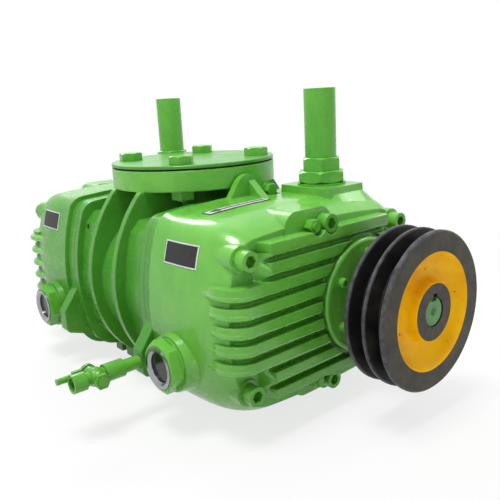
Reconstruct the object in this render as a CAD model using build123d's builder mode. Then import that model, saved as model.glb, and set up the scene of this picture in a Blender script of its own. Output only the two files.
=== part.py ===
"""Twin-lobe roots vacuum pump: belt driven, vertical flow, oil-splash end covers.

Frame: +Z up, rotor shafts along Y, drive end (pulley) toward -Y, drive shaft on the +X side.
Origin on the base plane, in the middle of the outlet port.
"""
import os
from math import acos, cos, pi, sin, sqrt, tan

from build123d import *

os.makedirs("parts", exist_ok=True)

# ---- rotors and timing -------------------------------------------------------
axis_height = 110.0          # rotor axes above the base plane
centre_distance = 90.0       # between the two rotor axes
rotor_gap = 0.15             # each lobe is undercut by this along its own normal
rotor_end_gap = 0.2          # rotor end to side plate
casing_gap = 0.25            # rotor tip to casing bore
fit_gap = 0.02               # seats that turn or sit together
module = 3.0                 # timing gear module
gear_face = 24.0
gear_backlash = 0.3

# ---- casing and castings -----------------------------------------------------
plate_thickness = 16.0
casting_half_width = 133.0   # side plate and cover foot, at axis height
casting_half_height = 100.0
plate_inset = 4.0            # side plates and casing flanges inside the cover rims
side_bulge = 19.0            # how far the sides bow out between their corners
top_crown = 6.0
casting_corner = 20.0        # upper corners
foot_corner = 36.0           # lower corners are rounder
cover_depth = 110.0          # from side plate to the cover's end wall
cover_wall = 9.0
cover_steps = (              # distance from the plate, loss of half width and half height, added corner
    (0.0, 0.0, 0.0, 0.0),
    (64.0, 1.5, 2.0, 4.0),
    (92.0, 5.5, 6.5, 6.0),
    (cover_depth, 11.0, 15.0, 7.0),
)
bore_wall = 10.4             # casing wall outside the rotor bore
fin_pitch = 54.0             # between the two casing fins
fin_thickness = 8.0
fin_half_width = 134.0
end_flange = 9.0             # casing end flange thickness
shoulder_inset = 12.0        # casing's thick ends inside the side plate's outline
shoulder_top = 80.0          # their top above the axis
shoulder_slope = 12.0
pad_hole_radius = 3.5        # tapped holes in the thick ends

# ---- inlet and outlet --------------------------------------------------------
inlet_rise = 130.0           # top of inlet flange above the rotor axes
flange_radius = 95.0
flange_thickness = 22.0
flange_pcd = 150.0
port_radius = 40.0
neck_wall = 12.0
blank_thickness = 3.5
gasket_thickness = 2.0
inlet_head_height = 9.0      # M16 bolt heads on the blank plate
outlet_pad = 156.0           # square machined pad under the casing
pad_margin = 2.0             # casing beyond the pad at each end
outlet_tap_radius = 6.9
outlet_tap_depth = 24.0

# ---- cover screws, ribs, drive boss ------------------------------------------
screw_radius = 6.0
screw_head_radius = 9.0
screw_head_height = 12.0
screw_boss_radius = 12.5
screw_boss_rise = 2.0
middle_screw_x = -3.0
corner_screw_inset = 28.5    # from the side plate's edge, at axis height
corner_screw_up = 66.0
corner_screw_down = 58.0
middle_screw_up = 82.0
middle_screw_down = 77.0
screw_clearance = 0.4
thread_reach = 12.0
rib_pitch = 17.1
rib_lift = 1.0               # middle rib above the shaft axis
rib_rise = 15.0              # rib crest beyond the end wall
rib_crest = 2.4
rib_flanks = ((2.0, 74.0), (4.4, 56.0))   # height and draft of each flank, from the crest out
rib_root = 26.0              # how far the rib's outline starts inside the end wall
rib_short_inset = 30.0       # ends of the short ribs from the face's edge
rib_tail = 20.0              # how far the long ribs run back along the sides
drive_boss_radius = 63.0
drive_boss_rise = 9.0
seal_cap_radius = 60.0
seal_cap_thickness = 8.0
cap_screw_circle = 45.0
cap_screw_radius = 3.0
cap_screw_head = 5.0
cap_screw_rise = 6.0
seal_radius = 26.0
plug_offset = 17.5           # oil plugs beside the middle screws
plug_radius = 6.5

# ---- shafts and bearings -----------------------------------------------------
rotor_shaft_radius = 16.0
journal_radius = 15.0
seat_radius = 14.0           # pulley and gear seats
bearing_radius = 31.0
bearing_width = 16.0
bearing_setback = 2.0        # bearing behind the side plate's outer face
housing_radius = 40.0
inner_ring_radius = 20.5
shield_gap = 0.4
shaft_clearance = 0.5
key_width = 8.0
key_height = 7.0
nut_thickness = 10.0

# ---- pulley ------------------------------------------------------------------
pulley_radius = 76.2         # six inch pulley
pulley_width = 44.0
pulley_gap = 33.3            # from the seal cap to the pulley
groove_pitch = 19.0
groove_top = 16.5
groove_depth = 14.5
groove_bottom = 7.5
hub_radius = 27.5
dish_radius = 56.3
dish_depth = 13.0

# ---- breathers, sight glasses, drain cock ------------------------------------
breather_inset = 66.8        # from the side plate's edge, at axis height
breather_y = 144.0
pad_half_x = 28.0
pad_half_y = 36.0
pad_step = 7.0               # pad above its sloping platform
platform_height = 14.0
platform_draft = 45.0
pad_rise = 106.0             # pad's top above the rotor axes
pipe_radius = 16.85
pipe_wall = 3.2
pipe_rise = 100.5            # pipe's open end above the pad
bush_af = 47.0
bush_height = 13.0
nipple_af = 38.0
nipple_height = 14.0
washer_radius = 26.0
washer_thickness = 2.0
sight_y = 134.0
sight_drop = 41.0            # below the rotor axes
sight_boss_radius = 28.0
sight_boss_rise = 6.0        # boss face beyond the cover's side
sight_af = 46.0
sight_body = 11.0
sight_ring_radius = 20.5
sight_glass_radius = 14.5
drain_drop = 50.0            # below the rotor axes
drain_boss_rise = 14.0       # boss face beyond the side plate
drain_pipe_radius = 6.85
drain_pipe_length = 36.0
coupling_radius = 9.0
coupling_length = 20.0
cock_radius = 9.5
cock_plug_radius = 5.0
lever_length = 32.0
breather_turn = 42.0
sight_turn = 12.0
retainer_thickness = 3.0
slinger_radius = 42.0
dowel_x = 118.0
dowel_radius = 4.0
lug_thickness = 8.0
lug_bolt_radius = 4.0
lug_washer_radius = 8.5
foot_spread = 110.0          # between the tapped feet of a side plate
foot_width = 44.0

# ---- sizes that follow -------------------------------------------------------
shaft_x = centre_distance / 2
pitch_radius = centre_distance / 2
casing_half = outlet_pad / 2 + pad_margin
plate_face = casing_half + plate_thickness
face_half_width = casting_half_width - cover_steps[-1][1]
inlet_face = axis_height + inlet_rise
pad_top = axis_height + pad_rise
pipe_top = pad_top + pipe_rise
breather_x = casting_half_width - breather_inset
sight_z = axis_height - sight_drop
sight_boss_face = casting_half_width + sight_boss_rise
drain_z = axis_height - drain_drop
drain_boss_face = casting_half_width + drain_boss_rise
corner_screw_x = casting_half_width - corner_screw_inset
cover_face = plate_face + cover_depth
bore_radius = 1.5 * pitch_radius - rotor_gap + casing_gap
casing_radius = bore_radius + bore_wall
boss_face = cover_face + screw_boss_rise
drive_boss_face = cover_face + drive_boss_rise
cap_face = drive_boss_face + seal_cap_thickness
pulley_face = cap_face + pulley_gap + pulley_width
bearing_start = plate_face + bearing_setback
bearing_end = bearing_start + bearing_width
gear_start = bearing_end + 8.0
gear_end = gear_start + gear_face
teeth = round(centre_distance / module)
lug_face = plate_face + lug_thickness
lug_bolt_place = (23.0, axis_height + casting_half_height + 2.0)
dowel_places = [(-dowel_x, axis_height + 22), (dowel_x, axis_height - 22)]
corner_heights = (axis_height - corner_screw_down, axis_height + corner_screw_up)
cover_screws = [(side * corner_screw_x, height) for side in (-1, 1) for height in corner_heights]
cover_screws.append((middle_screw_x, axis_height + middle_screw_up))
cover_screws.append((middle_screw_x, axis_height - middle_screw_down))
plug_places = [
    (middle_screw_x - plug_offset, axis_height + middle_screw_up - 1.0),
    (middle_screw_x - plug_offset, axis_height - middle_screw_down + 3.0),
]


toward_drive = (0, -1, 0)


def casting_section(distance, half_width, half_height, rounder=0.0):
    """Bowed rectangle of the end castings, at a distance toward the drive end."""
    side_x = half_width - side_bulge
    side_z = half_height - top_crown
    with BuildSketch(Plane.XZ.offset(distance)) as section:
        with BuildLine():
            ThreePointArc(
                (-side_x, axis_height - side_z), (-half_width, axis_height), (-side_x, axis_height + side_z)
            )
            ThreePointArc(
                (-side_x, axis_height + side_z), (0, axis_height + half_height), (side_x, axis_height + side_z)
            )
            ThreePointArc(
                (side_x, axis_height + side_z), (half_width, axis_height), (side_x, axis_height - side_z)
            )
            ThreePointArc(
                (side_x, axis_height - side_z), (0, axis_height - half_height), (-side_x, axis_height - side_z)
            )
        make_face()
        feet = section.vertices().group_by(Axis.Y)[0]
        fillet(feet, foot_corner + rounder)
        shoulders = section.vertices().group_by(Axis.Y)[-1]
        fillet(shoulders, casting_corner + rounder)
    return section.sketch


def cover_body(inset):
    """Lofted body of an end cover, smaller by inset on every side but the open one."""
    with BuildPart(mode=Mode.PRIVATE) as body:
        for distance, narrower, lower, rounder in cover_steps:
            add(casting_section(plate_face + min(distance, cover_depth - inset),
                                casting_half_width - narrower - inset,
                                casting_half_height - lower - inset, rounder))
        loft()
    return body.part


def hexagon(across, height, both=False):
    """Hexagon head standing on its own XY plane, corners chamfered on top or on both faces."""
    corner = across / sqrt(3)
    rim = 0.48 * across
    fall = (corner - rim) * tan(pi / 6)
    with BuildPart(mode=Mode.PRIVATE) as head:
        with BuildSketch():
            RegularPolygon(across / 2, 6, major_radius=False)
        extrude(amount=height)
        with BuildSketch(Plane.XZ):
            with BuildLine():
                start = rim if both else corner
                Polyline((0, 0), (start, 0), (corner, fall if both else 0.1), (corner, height - fall),
                         (rim, height), (0, height), (0, 0))
            make_face()
        revolve(axis=Axis.Z, mode=Mode.INTERSECT)
    return head.part


def rotor_points(radius, gap, steps):
    """Two-lobe cycloid: outside arcs for the lobes, inside arcs for the waist, inset along the normal."""
    rolling = radius / 4
    points = []
    for quarter in range(4):
        lobe = quarter % 2 == 0
        for step in range(steps):
            roll = (step + 0.5) / steps * pi / 2
            angle = -pi / 4 + quarter * pi / 2 + roll
            contact = Vector(radius * cos(angle), radius * sin(angle))
            if lobe:
                turn = angle + 4 * roll
                point = Vector((radius + rolling) * cos(angle), (radius + rolling) * sin(angle))
                point -= Vector(rolling * cos(turn), rolling * sin(turn))
                point += (contact - point).normalized() * gap
            else:
                turn = angle - 4 * roll
                point = Vector((radius - rolling) * cos(angle), (radius - rolling) * sin(angle))
                point += Vector(rolling * cos(turn), rolling * sin(turn))
                point -= (contact - point).normalized() * gap
            points.append(point)
    return points


def gear_points(count, size, backlash):
    """Involute teeth at 20 degrees, first tooth on the local X axis."""
    pitch = count * size / 2
    base = pitch * cos(pi / 9)
    tip = pitch + size
    root = pitch - 1.25 * size
    half = pi / (2 * count) - backlash / (2 * pitch) + tan(pi / 9) - pi / 9
    flank = []
    for radius in (base, (base + pitch) / 2, pitch, (pitch + tip) / 2, tip):
        pressure = acos(base / radius)
        flank.append((radius, half - tan(pressure) + pressure))
    points = []
    for tooth in range(count):
        centre = tooth * 2 * pi / count
        side = [(root, -flank[0][1])] + [(r, -a) for r, a in flank]
        side += [(r, a) for r, a in reversed(flank)] + [(root, flank[0][1])]
        for radius, angle in side:
            points.append((radius * cos(centre + angle), radius * sin(centre + angle)))
    return points


def shaft_plane(place, distance, turn):
    """Plane across one shaft, at a distance toward the gear end, turned about the shaft."""
    angle = turn * pi / 180
    return Plane(origin=(place[0], distance, place[1]), x_dir=(cos(angle), 0, sin(angle)), z_dir=toward_drive)


def save(piece, name):
    piece.part.label = name
    export_step(piece.part, f"parts/{name}.step")


# ---- centre casing -----------------------------------------------------------
neck_radius = port_radius + neck_wall
flange_under = inlet_face - flange_thickness
with BuildPart() as centre_casing:
    with BuildSketch(Plane.XZ.offset(-casing_half)):
        with Locations((0, axis_height)):
            SlotCenterToCenter(centre_distance, 2 * casing_radius)
    extrude(amount=2 * casing_half)
    for start in (-casing_half, casing_half - end_flange):
        extrude(casting_section(start, casting_half_width - plate_inset, casting_half_height - plate_inset),
                amount=end_flange, dir=toward_drive)
    # thick ends with a sloping shoulder, between each outer fin and its flange
    for start in (fin_pitch / 2, end_flange - casing_half):
        with BuildSketch(Plane.XZ.offset(start)):
            with BuildLine():
                top = axis_height + shoulder_top
                edge = casting_half_width - shoulder_inset - 11
                low = axis_height - shoulder_top
                crown = Line((shoulder_slope - edge, top), (edge - shoulder_slope, top))
                slope = Line(crown @ 1, (edge, top - shoulder_slope))
                right = ThreePointArc(slope @ 1, (edge + 11, axis_height), (edge - 4, low + shoulder_slope))
                foot = Polyline(right @ 1, (edge - 26, low - 4), (26 - edge, low - 4),
                                (4 - edge, low + shoulder_slope))
                left = ThreePointArc(foot @ 1, (-edge - 11, axis_height), (-edge, top - shoulder_slope))
                Line(left @ 1, crown @ 0)
            make_face()
        extrude(amount=casing_half - end_flange - fin_pitch / 2)
    for shift in (-fin_pitch / 2, fin_pitch / 2):
        with BuildSketch(Plane.XZ.offset(shift - fin_thickness / 2)):
            with BuildLine():
                crown = Line((-flange_radius + 2, flange_under), (flange_radius - 2, flange_under))
                right = Spline(
                    crown @ 1, (fin_half_width - 19, axis_height + 78), (fin_half_width, axis_height),
                    (fin_half_width - 21, axis_height - 64), (fin_half_width - 56, axis_height - 96),
                )
                foot = Line(right @ 1, (56 - fin_half_width, axis_height - 96))
                Spline(
                    foot @ 1, (21 - fin_half_width, axis_height - 64), (-fin_half_width, axis_height),
                    (19 - fin_half_width, axis_height + 78), crown @ 0,
                )
            make_face()
        extrude(amount=fin_thickness)
    with BuildSketch(Plane.XY.offset(axis_height)):
        Circle(neck_radius)
    extrude(amount=inlet_face - axis_height)
    with BuildSketch(Plane.XY.offset(flange_under)):
        Circle(flange_radius)
    extrude(amount=flange_thickness)
    with BuildSketch(Plane.XY):
        RectangleRounded(outlet_pad, outlet_pad, 14)
    extrude(amount=axis_height - casing_radius + 14)
    # tapped holes in the thick ends, near the flanges
    for face, inward in ((shoulder_inset - casting_half_width, 24), (casting_half_width - shoulder_inset, -24)):
        with BuildSketch(Plane.YZ.offset(face)):
            with Locations((0, axis_height + 3)):
                with GridLocations(2 * (casing_half - 14), 2 * (shoulder_top - 21), 2, 2):
                    Circle(pad_hole_radius)
        extrude(amount=inward, mode=Mode.SUBTRACT)
    # dowel holes, rotor bores and ports
    for start in (-casing_half, casing_half - 8):
        with BuildSketch(Plane.XZ.offset(start)):
            with Locations(*dowel_places):
                Circle(dowel_radius + fit_gap)
        extrude(amount=8, mode=Mode.SUBTRACT)
    with BuildSketch(Plane.XZ.offset(-casing_half)):
        with Locations((-shaft_x, axis_height), (shaft_x, axis_height)):
            Circle(bore_radius)
    extrude(amount=2 * casing_half, mode=Mode.SUBTRACT)
    with BuildSketch(Plane.XY):
        Circle(port_radius)
    extrude(amount=inlet_face, mode=Mode.SUBTRACT)
    with Locations(Plane.XY.offset(inlet_face)):
        with PolarLocations(flange_pcd / 2, 4, start_angle=45):
            Hole(8.5, depth=flange_thickness)
    with Locations(Plane.XY.rotated((180, 0, 0))):
        with PolarLocations(flange_pcd / 2, 4, start_angle=45):
            Hole(outlet_tap_radius, depth=outlet_tap_depth)
save(centre_casing, "centre_casing")

# ---- inlet blank, gasket and bolts -------------------------------------------
with BuildPart() as inlet_gasket:
    with BuildSketch(Plane.XY.offset(inlet_face)):
        Circle(flange_radius - 3)
        Circle(port_radius, mode=Mode.SUBTRACT)
        with PolarLocations(flange_pcd / 2, 4, start_angle=45):
            Circle(8.5, mode=Mode.SUBTRACT)
    extrude(amount=gasket_thickness)
save(inlet_gasket, "inlet_gasket")

blank_base = inlet_face + gasket_thickness
with BuildPart() as inlet_blank_plate:
    with BuildSketch(Plane.XY.offset(blank_base)):
        Circle(flange_radius)
        with PolarLocations(flange_pcd / 2, 4, start_angle=45):
            Circle(8.5, mode=Mode.SUBTRACT)
    extrude(amount=blank_thickness)
    top_edges = inlet_blank_plate.edges().filter_by(GeomType.CIRCLE).group_by(Axis.Z)[-1]
    chamfer(top_edges.sort_by(SortBy.RADIUS)[-1], 0.8)
save(inlet_blank_plate, "inlet_blank_plate")

blank_top = blank_base + blank_thickness
inlet_head = hexagon(24.0, inlet_head_height)
with BuildPart() as inlet_bolts:
    with Locations(Plane.XY.offset(blank_top)):
        with PolarLocations(flange_pcd / 2, 4, start_angle=45):
            add(inlet_head)
    with BuildSketch(Plane.XY.offset(blank_top)):
        with PolarLocations(flange_pcd / 2, 4, start_angle=45):
            Circle(8.0)
    extrude(amount=-(blank_thickness + gasket_thickness + flange_thickness + 12))
    with BuildSketch(Plane.XY.offset(flange_under)):
        with PolarLocations(flange_pcd / 2, 4, start_angle=45):
            RegularPolygon(12.0, 6, major_radius=False)
    extrude(amount=-10.0)
save(inlet_bolts, "inlet_bolts")

# ---- side plates -------------------------------------------------------------
with BuildPart() as side_plate:
    extrude(casting_section(casing_half, casting_half_width - plate_inset, casting_half_height - plate_inset),
            amount=plate_thickness, dir=toward_drive)
    with BuildSketch(Plane.XZ.offset(plate_face)):
        with Locations((-shaft_x, axis_height), (shaft_x, axis_height)):
            Circle(housing_radius)
        with Locations((0, axis_height)):
            Rectangle(centre_distance, 30)
    extrude(amount=bearing_setback + bearing_width)
    # feet
    foot_height = axis_height - casting_half_height + 10
    with BuildSketch(Plane.XZ.offset(casing_half)):
        with Locations((-foot_spread / 2, foot_height / 2), (foot_spread / 2, foot_height / 2)):
            Rectangle(foot_width, foot_height)
    extrude(amount=plate_thickness)
    # ear behind the cover's arched lug
    with BuildSketch(Plane.XZ.offset(plate_face - lug_thickness)):
        with Locations((lug_bolt_place[0], lug_bolt_place[1] - 4)):
            RectangleRounded(20, 17, 3)
    extrude(amount=lug_thickness)
    with BuildSketch(Plane.XZ.offset(plate_face - thread_reach)):
        with Locations(lug_bolt_place):
            Circle(lug_bolt_radius + screw_clearance / 2)
    extrude(amount=thread_reach, mode=Mode.SUBTRACT)
    # dowel holes
    with BuildSketch(Plane.XZ.offset(casing_half)):
        with Locations(*dowel_places):
            Circle(dowel_radius + fit_gap)
    extrude(amount=8, mode=Mode.SUBTRACT)
    # thick corner under the drain line
    with BuildSketch(Plane.XZ.offset(casing_half)):
        with BuildLine():
            edge = -drain_boss_face
            Polyline((edge + 47, drain_z - 36), (edge + 21, drain_z - 21), (edge + 3, drain_z - 15),
                     (edge, drain_z - 11), (edge, drain_z + 12), (edge + 19, drain_z + 38),
                     (edge + 47, drain_z + 38), (edge + 47, drain_z - 36))
        make_face()
    extrude(amount=plate_thickness)
    # bearing seats, shaft passages, screw taps, foot taps
    with BuildSketch(Plane.XZ.offset(bearing_start)):
        with Locations((-shaft_x, axis_height), (shaft_x, axis_height)):
            Circle(bearing_radius + fit_gap)
    extrude(amount=bearing_width + 1, mode=Mode.SUBTRACT)
    with BuildSketch(Plane.XZ.offset(casing_half)):
        with Locations((-shaft_x, axis_height), (shaft_x, axis_height)):
            Circle(rotor_shaft_radius + shaft_clearance)
    extrude(amount=plate_thickness + bearing_setback, mode=Mode.SUBTRACT)
    with BuildSketch(Plane.XZ.offset(plate_face - thread_reach)):
        with Locations(*cover_screws):
            Circle(screw_radius + screw_clearance / 2)
    extrude(amount=thread_reach + 1, mode=Mode.SUBTRACT)
    with Locations(Plane.XY.rotated((180, 0, 0))):
        with Locations((-foot_spread / 2, casing_half + plate_thickness / 2),
                       (foot_spread / 2, casing_half + plate_thickness / 2)):
            Hole(4.25, depth=18)

with BuildPart() as drive_side_plate:
    add(side_plate.part)
    with BuildSketch(Plane.YZ.offset(-drain_boss_face)):
        with Locations((-casing_half - plate_thickness / 2, drain_z)):
            Circle(drain_pipe_radius + fit_gap)
    extrude(amount=12, mode=Mode.SUBTRACT)
save(drive_side_plate, "drive_side_plate")

with BuildPart() as gear_side_plate:
    add(mirror(side_plate.part, about=Plane.XZ))
save(gear_side_plate, "gear_side_plate")

# ---- end covers --------------------------------------------------------------
with BuildPart() as cover_casting:
    add(cover_body(0))
    # arched lip round the middle screws and the oil plugs
    with BuildSketch(Plane.XZ.offset(cover_face - 34)):
        with Locations((middle_screw_x - plug_offset, axis_height + middle_screw_up - 8)):
            RectangleRounded(62, 46, 15)
        with Locations((middle_screw_x - plug_offset + 2, axis_height - middle_screw_down + 11)):
            RectangleRounded(58, 42, 15)
    extrude(amount=34 + 1)
    # bosses under the screw heads
    with BuildSketch(Plane.XZ.offset(cover_face - 30)):
        with Locations(*cover_screws):
            Circle(screw_boss_radius)
    extrude(amount=30 + screw_boss_rise)
    # breather pad
    with BuildSketch(Plane.XY.offset(pad_top)):
        with Locations((breather_x, -breather_y)):
            RectangleRounded(2 * pad_half_x, 2 * pad_half_y, 4)
    extrude(amount=-20, taper=-4)
    # sloping platform that carries the pad out to the cover's corner, cut flush with the joint face
    with BuildSketch(Plane.XY.offset(pad_top - pad_step)):
        with Locations((breather_x + 2, -breather_y - 2)):
            RectangleRounded(2 * pad_half_x + 2, 2 * pad_half_y, 14)
    extrude(amount=-platform_height, taper=-platform_draft)
    with BuildSketch(Plane.XZ.offset(plate_face)):
        with Locations((0, axis_height)):
            Rectangle(2 * casting_half_width, 3 * casting_half_height)
    extrude(amount=-plate_thickness, mode=Mode.SUBTRACT)
    # sight glass boss
    with BuildSketch(Plane.YZ.offset(-sight_boss_face)):
        with Locations((-sight_y, sight_z)):
            Circle(sight_boss_radius)
    extrude(amount=22, taper=-10)
    # long ribs wrap both corners, short ribs run between the corner screws
    crest = cover_face + rib_rise
    for row in range(-4, 5):
        height = axis_height + rib_lift + row * rib_pitch
        with BuildSketch(Plane.XY.offset(height)) as outline:
            with BuildLine():
                if abs(row) > 2:
                    end = face_half_width - rib_short_inset
                    inside = rib_root - cover_face
                    Polyline((-end, inside), (10 - end, -crest), (end - 10, -crest), (end, inside),
                             (-end, inside))
                else:
                    tail = rib_tail - cover_face
                    root = Line((face_half_width + 4.5, tail), (-face_half_width - 4.5, tail))
                    wrap = ThreePointArc(root @ 1, (-face_half_width - 2, -cover_face - 2),
                                         (16 - face_half_width, -crest))
                    front = Line(wrap @ 1, (face_half_width - 16, -crest))
                    ThreePointArc(front @ 1, (face_half_width + 2, -cover_face - 2), root @ 0)
            make_face()
        extrude(outline.sketch, amount=rib_crest / 2, both=True)
        for way in (-1, 1):
            flank = outline.sketch.moved(Location((0, 0, way * rib_crest / 2)))
            for thickness, draft in rib_flanks:
                extrude(flank, amount=thickness, dir=(0, 0, way), taper=draft)
                flank = offset(flank, amount=-thickness * tan(draft * pi / 180), mode=Mode.PRIVATE)
                flank = flank.moved(Location((0, 0, way * thickness)))
    # arched lug with its web and bolt ear, close to the inlet flange
    with BuildSketch(Plane.XZ.offset(plate_face)):
        with BuildLine():
            seat = axis_height + casting_half_height - 10
            rise = Polyline((-36, seat), (-17, seat + 26))
            arch = ThreePointArc(rise @ 1, (-3, seat + 32), (11, seat + 25))
            Polyline(arch @ 1, (19, seat + 21), (33, seat + 18), (38, seat), rise @ 0)
        make_face()
    extrude(amount=lug_thickness)
    with BuildSketch(Plane.YZ.offset(-4)):
        with BuildLine():
            Polyline((-lug_face, seat + 3), (-lug_face, seat + 25), (-lug_face - 22, seat + 7),
                     (-lug_face - 22, seat + 3), (-lug_face, seat + 3))
        make_face()
    extrude(amount=9)
    with BuildSketch(Plane.XZ.offset(plate_face)):
        with Locations(lug_bolt_place):
            Circle(lug_bolt_radius + screw_clearance / 2)
    extrude(amount=lug_thickness, mode=Mode.SUBTRACT)
    with BuildSketch(Plane.XZ.offset(lug_face)):
        with Locations(lug_bolt_place):
            Circle(lug_washer_radius + 0.5)
    extrude(amount=14, mode=Mode.SUBTRACT)
    # spot faces for the screw heads and plugs
    with BuildSketch(Plane.XZ.offset(boss_face)):
        with Locations(*cover_screws):
            Circle(screw_head_radius + 1.2)
    extrude(amount=rib_rise, mode=Mode.SUBTRACT)
    with BuildSketch(Plane.XZ.offset(cover_face + 1)):
        with Locations(*plug_places):
            Circle(plug_radius + 2)
    extrude(amount=rib_rise, mode=Mode.SUBTRACT)
    # hollow oil chamber
    add(cover_body(cover_wall), mode=Mode.SUBTRACT)
    # screw columns through the chamber
    with BuildSketch(Plane.XZ.offset(plate_face)):
        with Locations(*cover_screws):
            Circle(screw_boss_radius - 0.5)
    extrude(amount=cover_depth - 1)
    with BuildSketch(Plane.XZ.offset(plate_face)):
        with Locations(*cover_screws):
            Circle(screw_radius + screw_clearance)
    extrude(amount=cover_depth + 20, mode=Mode.SUBTRACT)
    # breather bore, sight glass bore, plug taps
    with BuildSketch(Plane.XY.offset(pad_top)):
        with Locations((breather_x, -breather_y)):
            Circle(18)
    extrude(amount=-40, mode=Mode.SUBTRACT)
    with BuildSketch(Plane.YZ.offset(-sight_boss_face)):
        with Locations((-sight_y, sight_z)):
            Circle(17)
    extrude(amount=40, mode=Mode.SUBTRACT)
    with BuildSketch(Plane.XZ.offset(cover_face - 22)):
        with Locations(*plug_places):
            Circle(plug_radius - 1.5)
    extrude(amount=40, mode=Mode.SUBTRACT)

with BuildPart() as drive_end_cover:
    add(cover_casting.part)
    with BuildSketch(Plane.XZ.offset(cover_face - 22)):
        with Locations((shaft_x, axis_height)):
            Circle(34)
    extrude(amount=20)
    with BuildSketch(Plane.XZ.offset(cover_face - cover_wall)):
        with Locations((shaft_x, axis_height)):
            Circle(drive_boss_radius)
    extrude(amount=cover_wall + drive_boss_rise)
    with BuildSketch(Plane.XZ.offset(cover_face - 22)):
        with Locations((shaft_x, axis_height)):
            Circle(journal_radius + 1)
    extrude(amount=40, mode=Mode.SUBTRACT)
    with BuildSketch(Plane.XZ.offset(drive_boss_face - 12)):
        with Locations((shaft_x, axis_height)):
            Circle(seal_radius)
    extrude(amount=30, mode=Mode.SUBTRACT)
    with BuildSketch(Plane.XZ.offset(drive_boss_face + 12)):
        with Locations((shaft_x, axis_height)):
            Circle(drive_boss_radius + 0.01)
    extrude(amount=-12, mode=Mode.SUBTRACT)
    with BuildSketch(Plane.XZ.offset(drive_boss_face - 14)):
        with Locations((shaft_x, axis_height)):
            with PolarLocations(cap_screw_circle, 6, start_angle=30):
                Circle(cap_screw_radius + 0.2)
    extrude(amount=20, mode=Mode.SUBTRACT)
save(drive_end_cover, "drive_end_cover")

with BuildPart() as gear_end_cover:
    add(mirror(cover_casting.part, about=Plane.XZ))
save(gear_end_cover, "gear_end_cover")

# ---- cover screws and oil plugs ----------------------------------------------
with BuildPart() as drive_cover_screws:
    with BuildSketch(Plane.XZ.offset(boss_face)):
        with Locations(*cover_screws):
            Circle(screw_head_radius)
    extrude(amount=screw_head_height)
    with BuildSketch(Plane.XZ.offset(boss_face)):
        with Locations(*cover_screws):
            Circle(screw_radius)
    extrude(amount=-(boss_face - plate_face + thread_reach - 1))
    with BuildSketch(Plane.XZ.offset(boss_face + screw_head_height)):
        with Locations(*cover_screws):
            RegularPolygon(5.0, 6, major_radius=False)
    extrude(amount=-7, mode=Mode.SUBTRACT)
save(drive_cover_screws, "drive_cover_screws")

with BuildPart() as gear_cover_screws:
    add(mirror(drive_cover_screws.part, about=Plane.XZ))
save(gear_cover_screws, "gear_cover_screws")

plug_head = hexagon(2 * plug_radius, 9.0)
with BuildPart() as drive_plugs:
    for place in plug_places:
        with Locations(Plane.XZ.offset(cover_face + 1)):
            with Locations(place):
                add(plug_head)
        with BuildSketch(Plane.XZ.offset(cover_face + 1)):
            with Locations(place):
                Circle(plug_radius - 1.7)
        extrude(amount=-16)
        with BuildSketch(Plane.XZ.offset(cover_face + 10)):
            with Locations(place):
                Circle(4.5)
        extrude(amount=2)

with BuildPart() as oil_plugs:
    add(drive_plugs.part)
    add(mirror(drive_plugs.part, about=Plane.XZ))
save(oil_plugs, "oil_plugs")

# ---- side plate bolts and dowels ---------------------------------------------
lug_head = hexagon(13.0, 6.0)
with BuildPart() as drive_lug_bolt:
    with BuildSketch(Plane.XZ.offset(lug_face)):
        with Locations(lug_bolt_place):
            Circle(lug_washer_radius)
    extrude(amount=washer_thickness)
    with Locations(Plane.XZ.offset(lug_face + washer_thickness)):
        with Locations(lug_bolt_place):
            add(lug_head)
    with BuildSketch(Plane.XZ.offset(lug_face)):
        with Locations(lug_bolt_place):
            Circle(lug_bolt_radius)
    extrude(amount=1 - lug_thickness - thread_reach)
with BuildPart() as lug_bolts:
    add(drive_lug_bolt.part)
    add(mirror(drive_lug_bolt.part, about=Plane.XZ))
save(lug_bolts, "lug_bolts")

with BuildPart() as dowel_pins:
    for end in (-1, 1):
        with BuildSketch(Plane.XZ.offset(end * casing_half - 7.5)):
            with Locations(*dowel_places):
                Circle(dowel_radius)
        extrude(amount=15)
save(dowel_pins, "dowel_pins")

# ---- bearings ----------------------------------------------------------------
def ring(start, length, outer, inner, places):
    """Plain ring round one or both shafts, from start toward the drive end."""
    with BuildPart() as piece:
        with BuildSketch(Plane.XZ.offset(start)):
            with Locations(*places):
                Circle(outer)
                Circle(inner, mode=Mode.SUBTRACT)
        extrude(amount=length)
    return piece.part


drive_axis = (shaft_x, axis_height)
driven_axis = (-shaft_x, axis_height)
with BuildPart() as bearing_outer_rings:
    for start in (bearing_start, -bearing_end):
        add(ring(start, bearing_width, bearing_radius, bearing_radius - 5, [drive_axis, driven_axis]))
        for face in (start + 0.5, start + bearing_width - 1.5):
            add(ring(face, 1, bearing_radius - 5, inner_ring_radius + shield_gap, [drive_axis, driven_axis]))
save(bearing_outer_rings, "bearing_outer_rings")

with BuildPart() as drive_inner_rings:
    for start in (bearing_start, -bearing_end):
        add(ring(start, bearing_width, inner_ring_radius, journal_radius + fit_gap, [drive_axis]))
save(drive_inner_rings, "drive_inner_rings")

with BuildPart() as driven_inner_rings:
    for start in (bearing_start, -bearing_end):
        add(ring(start, bearing_width, inner_ring_radius, journal_radius + fit_gap, [driven_axis]))
save(driven_inner_rings, "driven_inner_rings")

with BuildPart() as bearing_retainers:
    for start in (bearing_end, -bearing_end - retainer_thickness):
        with BuildSketch(Plane.XZ.offset(start)):
            with Locations((0, axis_height)):
                SlotCenterToCenter(centre_distance, 2 * housing_radius)
            with Locations(drive_axis, driven_axis):
                Circle(bearing_radius - 5, mode=Mode.SUBTRACT)
        extrude(amount=retainer_thickness)
save(bearing_retainers, "bearing_retainers")

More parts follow.
